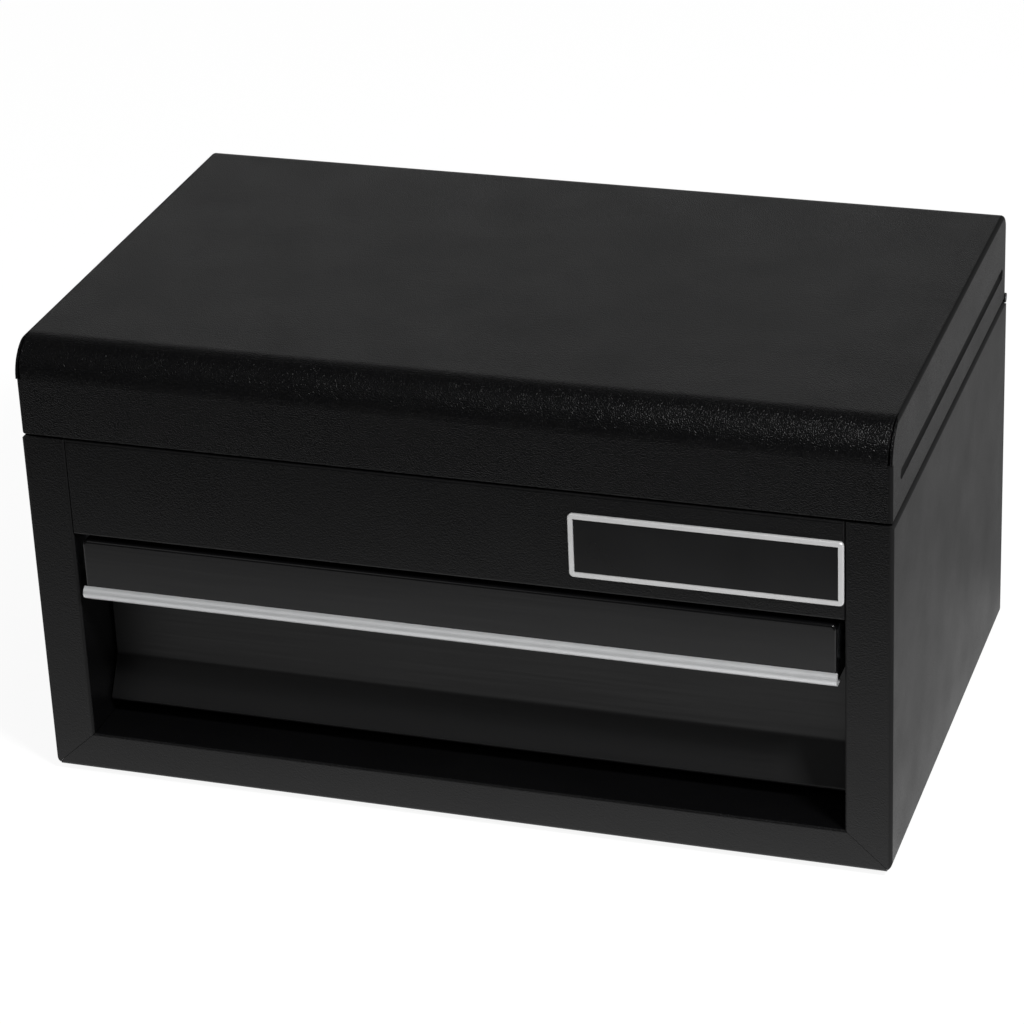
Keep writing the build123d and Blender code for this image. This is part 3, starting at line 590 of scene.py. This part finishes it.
def textured_coat(name, colour, grain, relief_height, roughness, shine):
    """Coat of pebbles that break the light into soft grain, with a dull band on tight bends."""
    material, tree = new_material(name)
    place = add_node(tree, "ShaderNodeTexCoord").outputs["Object"]
    flat = flat_share(tree)
    open_gloss = wandering(tree, place, COAT_DRIFT, COAT_DETAIL, roughness, COAT_SPREAD)
    rough = add_node(
        tree,
        "ShaderNodeMapRange",
        {"Value": flat, "To Min": BEND_ROUGHNESS, "To Max": open_gloss},
    )
    pebbles = add_node(
        tree,
        "ShaderNodeTexNoise",
        {"Vector": place, "Scale": 1 / grain, "Detail": PEBBLE_DETAIL},
    )
    relief = add_node(
        tree,
        "ShaderNodeBump",
        {"Height": pebbles.outputs["Fac"], "Strength": flat, "Distance": relief_height},
    )
    shader = add_node(
        tree,
        "ShaderNodeBsdfPrincipled",
        {
            "Base Color": rgba(colour),
            "Roughness": rough.outputs["Result"],
            "Specular IOR Level": shine,
            "Normal": relief.outputs["Normal"],
        },
    )
    add_node(tree, "ShaderNodeOutputMaterial", {"Surface": shader.outputs["BSDF"]})
    return material


def satin_coat(name, colour, roughness, recess_roughness, shine):
    """Smooth coat with faint lines along the rolled sheet, and a drier coat in the recess."""
    material, tree = new_material(name)
    place = add_node(tree, "ShaderNodeTexCoord").outputs["Object"]
    along = add_node(
        tree,
        "ShaderNodeMapping",
        {"Vector": place, "Scale": (1 / LINE_LENGTH, 1 / LINE_PITCH, 1 / LINE_PITCH)},
    )
    streaks = add_node(
        tree,
        "ShaderNodeTexNoise",
        {"Vector": along.outputs["Vector"], "Scale": 1.0, "Detail": LINE_DETAIL},
    )
    lines = add_node(
        tree,
        "ShaderNodeMapRange",
        {
            "Value": streaks.outputs["Fac"],
            "From Min": NOISE_LOW,
            "From Max": NOISE_HIGH,
            "To Min": -LINE_SPREAD,
            "To Max": LINE_SPREAD,
        },
    )
    axes = add_node(tree, "ShaderNodeSeparateXYZ", {"Vector": place})
    face = cad_box[0][1]
    depth = add_node(
        tree,
        "ShaderNodeMapRange",
        {
            "Value": axes.outputs["Y"],
            "From Min": face + RECESS_START,
            "From Max": face + RECESS_END,
            "To Min": roughness,
            "To Max": recess_roughness,
        },
    )
    rough = add_node(
        tree,
        "ShaderNodeMath",
        {0: depth.outputs["Result"], 1: lines.outputs["Result"]},
        operation="ADD",
    )
    relief = add_node(
        tree,
        "ShaderNodeBump",
        {"Height": streaks.outputs["Fac"], "Strength": 1.0, "Distance": LINE_RELIEF},
    )
    shader = add_node(
        tree,
        "ShaderNodeBsdfPrincipled",
        {
            "Base Color": rgba(colour),
            "Roughness": rough.outputs["Value"],
            "Specular IOR Level": shine,
            "Normal": relief.outputs["Normal"],
        },
    )
    add_node(tree, "ShaderNodeOutputMaterial", {"Surface": shader.outputs["BSDF"]})
    return material


def bare_metal(name, colour, roughness, metallic=1.0):
    """Plain metal with a slightly cloudy polish."""
    material, tree = new_material(name)
    place = add_node(tree, "ShaderNodeTexCoord").outputs["Object"]
    cloudy = wandering(tree, place, CLOUD_WIDTH, CLOUD_DETAIL, roughness, CLOUD_SPREAD)
    shader = add_node(
        tree,
        "ShaderNodeBsdfPrincipled",
        {"Base Color": rgba(colour), "Metallic": metallic, "Roughness": cloudy},
    )
    add_node(tree, "ShaderNodeOutputMaterial", {"Surface": shader.outputs["BSDF"]})
    return material


# CAD nodes that keep their shape, by finish

BODY_NODES = (
    "left_side_panel",
    "right_side_panel",
    "bottom_panel",
    "back_panel",
    "upper_front_panel",
    "compartment_floor",
    "hinge_body_leaf",
    "hinge_lid_leaf",
)
DRAWER_NODES = ("drawer_tray", "drawer_front")
ZINC_NODES = (
    "left_slide_rail",
    "right_slide_rail",
    "left_rear_bracket",
    "right_rear_bracket",
    "left_ball_cage",
    "right_ball_cage",
    "left_drawer_runner",
    "right_drawer_runner",
    "hinge_pin",
    "left_lid_stay",
    "right_lid_stay",
)
BALL_NODES = ("left_slide_balls", "right_slide_balls")
ZINC = "bright zinc plate"


class TOOLBOX_OT_coat_body(bpy.types.Operator):
    """Coat the panels of the body"""

    bl_idname = "toolbox.coat_body"
    bl_label = "Coat the body"

    def execute(self, context):
        coats = context.scene.tool_box_coats
        # Polyester powder sprayed on bent steel and baked to small low pebbles: an even dark
        # grey with a low sheen. Real pebbles are about 0.2 mm wide, too fine to show, so they
        # are drawn about twice as wide.
        coat = textured_coat(
            "fine black powder coat",
            coats.body_colour,
            coats.body_grain,
            coats.body_relief,
            roughness=0.38,
            shine=0.35,
        )
        dress(coat, BODY_NODES)
        return {"FINISHED"}


class TOOLBOX_OT_coat_lid(bpy.types.Operator):
    """Coat the lid"""

    bl_idname = "toolbox.coat_lid"
    bl_label = "Coat the lid"

    def execute(self, context):
        coats = context.scene.tool_box_coats
        # A coarser polyester powder, baked to pebbles about 0.4 mm wide: a darker, glossier skin
        # whose pebbles sparkle one by one. They are drawn higher than the real 0.05 mm or so,
        # because at a pixel each they would hardly catch the light.
        coat = textured_coat(
            "coarse black powder coat",
            coats.lid_colour,
            coats.lid_grain,
            coats.lid_relief,
            roughness=0.32,
            shine=0.26,
        )
        dress(coat, ["lid_shell"])
        return {"FINISHED"}


class TOOLBOX_OT_coat_drawer(bpy.types.Operator):
    """Coat the drawer's front and tray"""

    bl_idname = "toolbox.coat_drawer"
    bl_label = "Coat the drawer"

    def execute(self, context):
        coats = context.scene.tool_box_coats
        # A thin smooth powder, baked over rolled steel: a satin gloss that mirrors the floor
        # softly along the sheet. Little powder reaches into the pull recess, so it is duller.
        coat = satin_coat(
            "satin black powder coat",
            coats.drawer_colour,
            roughness=0.22,
            recess_roughness=0.5,
            shine=0.5,
        )
        dress(coat, DRAWER_NODES)
        return {"FINISHED"}


class TOOLBOX_OT_plate_metalwork(bpy.types.Operator):
    """Plate the slides, hinge, stays and fasteners, and polish the balls"""

    bl_idname = "toolbox.plate_metalwork"
    bl_label = "Plate the metalwork"

    def execute(self, context):
        # Steel plated with zinc and passivated clear: a cool pale silver, soft and cloudy.
        zinc = bare_metal(ZINC, linear("#c3c6c9"), roughness=0.34)
        dress(zinc, ZINC_NODES)
        # Hardened chrome steel, ground and polished: small clean mirrors.
        steel = bare_metal("polished bearing steel", linear("#cfd1d3"), roughness=0.08)
        dress(steel, BALL_NODES)
        # Drawn aluminium strip, anodised: its clear oxide skin scatters about half of the light,
        # so the strip stays pale from every side and never turns dark as a mirror would.
        aluminium = bare_metal(
            "satin anodised aluminium",
            linear("#e4e5e6"),
            roughness=0.42,
            metallic=0.55,
        )
        dress(aluminium, ["drawer_trim"])
        return {"FINISHED"}


class TOOLBOX_OT_set_rivets(bpy.types.Operator):
    """Set the rivets of the slides and the hinge"""

    bl_idname = "toolbox.set_rivets"
    bl_label = "Set the rivets"

    def execute(self, context):
        zinc = bpy.data.materials[ZINC]
        height = middle_of("slide_rail_rivets").z
        shapes = []
        for y, grip in ((RAIL_TAB, TAB_GRIP), (RAIL_BRACKET, BRACKET_GRIP)):
            places = [((side * RAIL_WEB, y, height), (-side, 0, 0)) for side in SIDES]
            shapes.append(rivets(grip, places))
        add_piece(context, "slide_rail_rivets", shapes, zinc, "cabinet")
        places = [
            ((side * TRAY_INNER, TRAY_MIDDLE + shift, height), (-side, 0, 0))
            for side in SIDES
            for shift in (-RUNNER_PITCH, RUNNER_PITCH)
        ]
        shapes = [rivets(TAB_GRIP, places)]
        add_piece(context, "drawer_runner_rivets", shapes, zinc, "drawer")
        for name, body in (("hinge_body_rivets", "cabinet"), ("hinge_lid_rivets", "lid")):
            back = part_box(name)[1][1] - RIVET_CROWN
            height = middle_of(name).z
            places = [((x, back, height), (0, 1, 0)) for x in HINGE_RIVET_PLACES]
            add_piece(context, name, [rivets(HINGE_GRIP, places)], zinc, body)
        return {"FINISHED"}


class TOOLBOX_OT_set_studs(bpy.types.Operator):
    """Set the headed studs that carry the lid stays"""

    bl_idname = "toolbox.set_studs"
    bl_label = "Set the stay studs"

    def execute(self, context):
        zinc = bpy.data.materials[ZINC]
        stay_low, stay_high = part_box("right_lid_stay")
        play = (STUD_SLOT - (stay_high[0] - stay_low[0])) / 2
        slot_start = stay_high[0] + play
        for name, body in (("body_stay_studs", "cabinet"), ("lid_stay_pivots", "lid")):
            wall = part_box(name)[1][0]
            middle = middle_of(name)
            places = [((side * wall, middle.y, middle.z), (-side, 0, 0)) for side in SIDES]
            shapes = [studs(wall - slot_start, places)]
            add_piece(context, name, shapes, zinc, body)
        return {"FINISHED"}


class TOOLBOX_OT_finish_badge(bpy.types.Operator):
    """Finish the bare badge and its bright rim"""

    bl_idname = "toolbox.finish_badge"
    bl_label = "Finish the badge"

    def execute(self, context):
        # Enamel sprayed on a pressed plate and stoved: smooth and glossy, with the faint waves
        # of orange peel, about 3 mm long.
        enamel = textured_coat(
            "black stoving enamel",
            linear("#101011"),
            grain=3.0 * MM,
            relief_height=0.004 * MM,
            roughness=0.3,
            shine=0.5,
        )
        dress(enamel, ["badge_plate"])
        # Pressed aluminium, brushed and lacquered. The lacquer scatters about half of the light,
        # so the rim is a pale soft silver line round the field.
        aluminium = bare_metal(
            "brushed aluminium",
            linear("#ececec"),
            roughness=0.42,
            metallic=0.45,
        )
        dress(aluminium, ["badge_rim"])
        return {"FINISHED"}


class TOOLBOX_OT_finish_feet(bpy.types.Operator):
    """Finish the rubber feet"""

    bl_idname = "toolbox.finish_feet"
    bl_label = "Finish the feet"

    def execute(self, context):
        # Rubber pressed in a spark-eroded mould: dull, soft and nearly black. The grain that the
        # mould leaves is about 0.1 mm wide, too fine to show, and is drawn 0.5 mm wide.
        rubber = textured_coat(
            "moulded black rubber",
            linear("#1c1c1d"),
            grain=0.5 * MM,
            relief_height=0.02 * MM,
            roughness=0.8,
            shine=0.3,
        )
        low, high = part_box("rubber_feet")
        places = [
            ((x, y, 0.0), (0, 0, 1))
            for x in (low[0] + FOOT_TOP, high[0] - FOOT_TOP)
            for y in (low[1] + FOOT_TOP, high[1] - FOOT_TOP)
        ]
        shapes = [feet(high[2], places)]
        add_piece(context, "rubber_feet", shapes, rubber, "cabinet")
        return {"FINISHED"}


# Camera, floor and light

class TOOLBOX_OT_place_camera(bpy.types.Operator):
    """Place the camera that takes the picture"""

    bl_idname = "toolbox.place_camera"
    bl_label = "Place the camera"

    def execute(self, context):
        view = context.scene.tool_box_camera
        camera = bpy.data.objects.new("picture_camera", bpy.data.cameras.new("picture_camera"))
        context.scene.collection.objects.link(camera)
        camera.data.sensor_width = SENSOR_WIDTH
        camera.data.lens = view.lens
        level = Vector((math.sin(view.azimuth), -math.cos(view.azimuth), 0.0))
        out = level * math.cos(view.elevation) + Vector((0.0, 0.0, math.sin(view.elevation)))
        turn = out.to_track_quat("Z", "Y").to_matrix() @ Matrix.Rotation(view.roll, 3, "Z")
        place = Matrix.Translation(Vector(view.aim) + out * view.distance)
        camera.matrix_world = place @ turn.to_4x4()
        context.scene.camera = camera
        return {"FINISHED"}


class TOOLBOX_OT_set_studio(bpy.types.Operator):
    """Lay the floor and hang the lamps"""

    bl_idname = "toolbox.set_studio"
    bl_label = "Set up the studio"

    def execute(self, context):
        studio = context.scene.tool_box_studio
        context.scene.view_settings.view_transform = "Standard"
        lay_floor(context, studio)
        light_room(context, studio)
        hang_lamp(context, "key_lamp", KEY_PLACE, KEY_SIZE, studio.key_power)
        hang_lamp(context, "fill_lamp", FILL_PLACE, FILL_SIZE, studio.fill_power)
        return {"FINISHED"}


def shown_background(tree, camera_share):
    """Share of the plain background that a ray sees: some for the camera, all for gloss."""
    path = add_node(tree, "ShaderNodeLightPath")
    eye = add_node(
        tree,
        "ShaderNodeMath",
        {0: path.outputs["Is Camera Ray"], 1: camera_share},
        operation="MULTIPLY",
    )
    gloss = add_node(
        tree,
        "ShaderNodeMath",
        {0: path.outputs["Is Glossy Ray"], 1: path.outputs["Is Transmission Ray"]},
        operation="MAXIMUM",
    )
    share = add_node(
        tree,
        "ShaderNodeMath",
        {0: eye.outputs["Value"], 1: gloss.outputs["Value"]},
        operation="MAXIMUM",
    )
    return share.outputs["Value"]


def white_to_camera(tree, level):
    """White where the camera looks, and the given level for every other ray, as a socket."""
    path = add_node(tree, "ShaderNodeLightPath")
    white = add_node(
        tree,
        "ShaderNodeMath",
        {0: path.outputs["Is Camera Ray"], 1: SHEET_GLOW},
        operation="MULTIPLY",
    )
    either = add_node(
        tree,
        "ShaderNodeMath",
        {0: white.outputs["Value"], 1: level},
        operation="MAXIMUM",
    )
    return either.outputs["Value"]


def painted_sheet_glow(tree, studio):
    """Painted glow that a gloss sees on each spot of the sheet, painted brightest round the box,
    as a socket.
    """
    low, high = cad_box
    half_width = max(abs(low[0]), abs(high[0]))
    half_depth = max(abs(low[1]), abs(high[1]))
    front = -half_depth
    place = add_node(tree, "ShaderNodeTexCoord").outputs["Object"]
    axes = add_node(tree, "ShaderNodeSeparateXYZ", {"Vector": place})

    # Distance from the box's outline
    spread = add_node(tree, "ShaderNodeVectorMath", {0: place}, operation="ABSOLUTE")
    past = add_node(
        tree,
        "ShaderNodeVectorMath",
        {0: spread.outputs["Vector"], 1: (half_width, half_depth, 0.0)},
        operation="SUBTRACT",
    )
    outside = add_node(
        tree,
        "ShaderNodeVectorMath",
        {0: past.outputs["Vector"]},
        operation="MAXIMUM",
    )
    away = add_node(
        tree,
        "ShaderNodeVectorMath",
        {0: outside.outputs["Vector"]},
        operation="LENGTH",
    )

    # Painted glow beside the box, in front of it, and from one to the other
    beside = add_node(
        tree,
        "ShaderNodeMapRange",
        {
            "Value": away.outputs["Value"],
            "From Max": SIDE_FALL,
            "To Min": studio.floor_level * SIDE_SHARE,
            "To Max": FAR_LEVEL,
        },
    )
    before = add_node(
        tree,
        "ShaderNodeMapRange",
        {
            "Value": axes.outputs["Y"],
            "From Min": front - FOOT_REACH,
            "From Max": front,
            "To Min": studio.floor_level,
            "To Max": studio.floor_level * FOOT_GAIN,
        },
    )
    around = add_node(
        tree,
        "ShaderNodeMapRange",
        {
            "Value": axes.outputs["Y"],
            "From Min": front,
            "From Max": front + SIDE_START,
            "To Min": before.outputs["Result"],
            "To Max": beside.outputs["Result"],
        },
    )

    # The sheet's front end, and its share from left to right, which paints the right side brighter
    ended = add_node(
        tree,
        "ShaderNodeMapRange",
        {
            "Value": axes.outputs["Y"],
            "From Min": front - SHEET_FRONT - SHEET_BLUR,
            "From Max": front - SHEET_FRONT + SHEET_BLUR,
            "To Min": studio.front_level,
            "To Max": around.outputs["Result"],
        },
        interpolation_type="SMOOTHSTEP",
    )
    across = add_node(
        tree,
        "ShaderNodeMapRange",
        {
            "Value": axes.outputs["X"],
            "From Min": -half_width,
            "From Max": half_width,
            "To Min": LEFT_SHARE,
            "To Max": RIGHT_SHARE,
        },
    )
    level = add_node(
        tree,
        "ShaderNodeMath",
        {0: ended.outputs["Result"], 1: across.outputs["Result"]},
        operation="MULTIPLY",
    )
    return level.outputs["Value"]


def lay_floor(context, studio):
    """White sheet under the box, with the box's faint shadow and a painted glow that a gloss sees.
    """
    mesh = bpy.data.meshes.new("floor")
    shape = bmesh.new()
    bmesh.ops.create_grid(shape, x_segments=1, y_segments=1, size=studio.floor_reach)
    shape.to_mesh(mesh)
    shape.free()
    floor = bpy.data.objects.new("floor", mesh)
    context.scene.collection.objects.link(floor)
    # Bleached paper off a roll, matt: a plain white that takes only a faint shadow. A gloss sees
    # it as a painted glow instead, brightest round the box's foot, brighter to the right and dark
    # past its front end.
    material, tree = new_material("white paper sheet")
    level = painted_sheet_glow(tree, studio)
    glow = add_node(tree, "ShaderNodeEmission", {"Strength": white_to_camera(tree, level)})
    paper = add_node(tree, "ShaderNodeBsdfDiffuse", {"Color": rgba(linear("#f0f0f0"))})
    seen = add_node(
        tree,
        "ShaderNodeMixShader",
        {
            0: shown_background(tree, 1.0 - SHADOW_SHARE),
            1: paper.outputs["BSDF"],
            2: glow.outputs["Emission"],
        },
    )
    add_node(tree, "ShaderNodeOutputMaterial", {"Surface": seen.outputs["Shader"]})
    mesh.materials.append(material)


def light_room(context, studio):
    """Even room light. A gloss sees a pale backdrop behind the box and a dark room before it."""
    world = bpy.data.worlds.new("white studio")
    context.scene.world = world
    world.use_nodes = True
    tree = world.node_tree
    tree.nodes.clear()
    ray = add_node(tree, "ShaderNodeTexCoord").outputs["Generated"]
    axes = add_node(tree, "ShaderNodeSeparateXYZ", {"Vector": ray})
    backdrop = add_node(
        tree,
        "ShaderNodeMapRange",
        {
            "Value": axes.outputs["Z"],
            "From Min": BACKDROP_LOW,
            "From Max": BACKDROP_HIGH,
            "To Min": studio.back_level,
            "To Max": studio.front_level,
        },
        interpolation_type="SMOOTHSTEP",
    )
    level = add_node(
        tree,
        "ShaderNodeMapRange",
        {
            "Value": axes.outputs["Y"],
            "From Min": BACKDROP_START,
            "From Max": BACKDROP_FULL,
            "To Min": studio.front_level,
            "To Max": backdrop.outputs["Result"],
        },
        interpolation_type="SMOOTHSTEP",
    )
    white = white_to_camera(tree, level.outputs["Result"])
    room = add_node(
        tree,
        "ShaderNodeBackground",
        {"Color": WHITE, "Strength": studio.room_level},
    )
    shown = add_node(tree, "ShaderNodeBackground", {"Color": WHITE, "Strength": white})
    seen = add_node(
        tree,
        "ShaderNodeMixShader",
        {
            0: shown_background(tree, 1.0),
            1: room.outputs["Background"],
            2: shown.outputs["Background"],
        },
    )
    add_node(tree, "ShaderNodeOutputWorld", {"Surface": seen.outputs["Shader"]})


def hang_lamp(context, name, place, size, power):
    """Square lamp aimed at the middle of the box."""
    lamp = bpy.data.lights.new(name, "AREA")
    lamp.shape = "SQUARE"
    lamp.size = size
    lamp.energy = power
    holder = bpy.data.objects.new(name, lamp)
    context.scene.collection.objects.link(holder)
    middle = Vector((0.0, 0.0, cad_box[1][2] / 2))
    turn = (place - middle).to_track_quat("Z", "Y").to_matrix().to_4x4()
    holder.matrix_world = Matrix.Translation(place) @ turn


# Steps, panel and run

STEPS = (
    TOOLBOX_OT_place_camera,
    TOOLBOX_OT_coat_body,
    TOOLBOX_OT_coat_lid,
    TOOLBOX_OT_coat_drawer,
    TOOLBOX_OT_plate_metalwork,
    TOOLBOX_OT_set_rivets,
    TOOLBOX_OT_set_studs,
    TOOLBOX_OT_finish_badge,
    TOOLBOX_OT_finish_feet,
    TOOLBOX_OT_set_studio,
)
SETTINGS = {
    "tool_box_coats": ToolBoxCoatSettings,
    "tool_box_camera": ToolBoxCameraSettings,
    "tool_box_studio": ToolBoxStudioSettings,
}


class TOOLBOX_PT_panel(bpy.types.Panel):
    """Settings and steps of the tool box"""

    bl_idname = "TOOLBOX_PT_panel"
    bl_label = PANEL_NAME
    bl_space_type = "VIEW_3D"
    bl_region_type = "UI"
    bl_category = PANEL_NAME

    def draw(self, context):
        for group in SETTINGS:
            settings = getattr(context.scene, group)
            column = self.layout.column()
            for name in settings.__annotations__:
                column.prop(settings, name)
        for step in STEPS:
            self.layout.operator(step.bl_idname)


def register():
    """Register the settings, the steps and the panel."""
    for name, kind in SETTINGS.items():
        bpy.utils.register_class(kind)
        setattr(bpy.types.Scene, name, PointerProperty(type=kind))
    for step in STEPS:
        bpy.utils.register_class(step)
    bpy.utils.register_class(TOOLBOX_PT_panel)


def unregister():
    """Remove what register added."""
    bpy.utils.unregister_class(TOOLBOX_PT_panel)
    for step in reversed(STEPS):
        bpy.utils.unregister_class(step)
    for name, kind in reversed(SETTINGS.items()):
        delattr(bpy.types.Scene, name)
        bpy.utils.unregister_class(kind)


def main():
    """Run every step in order."""
    register()
    for step in STEPS:
        family, name = step.bl_idname.split(".")
        getattr(getattr(bpy.ops, family), name)()


if __name__ == "__main__":
    main()
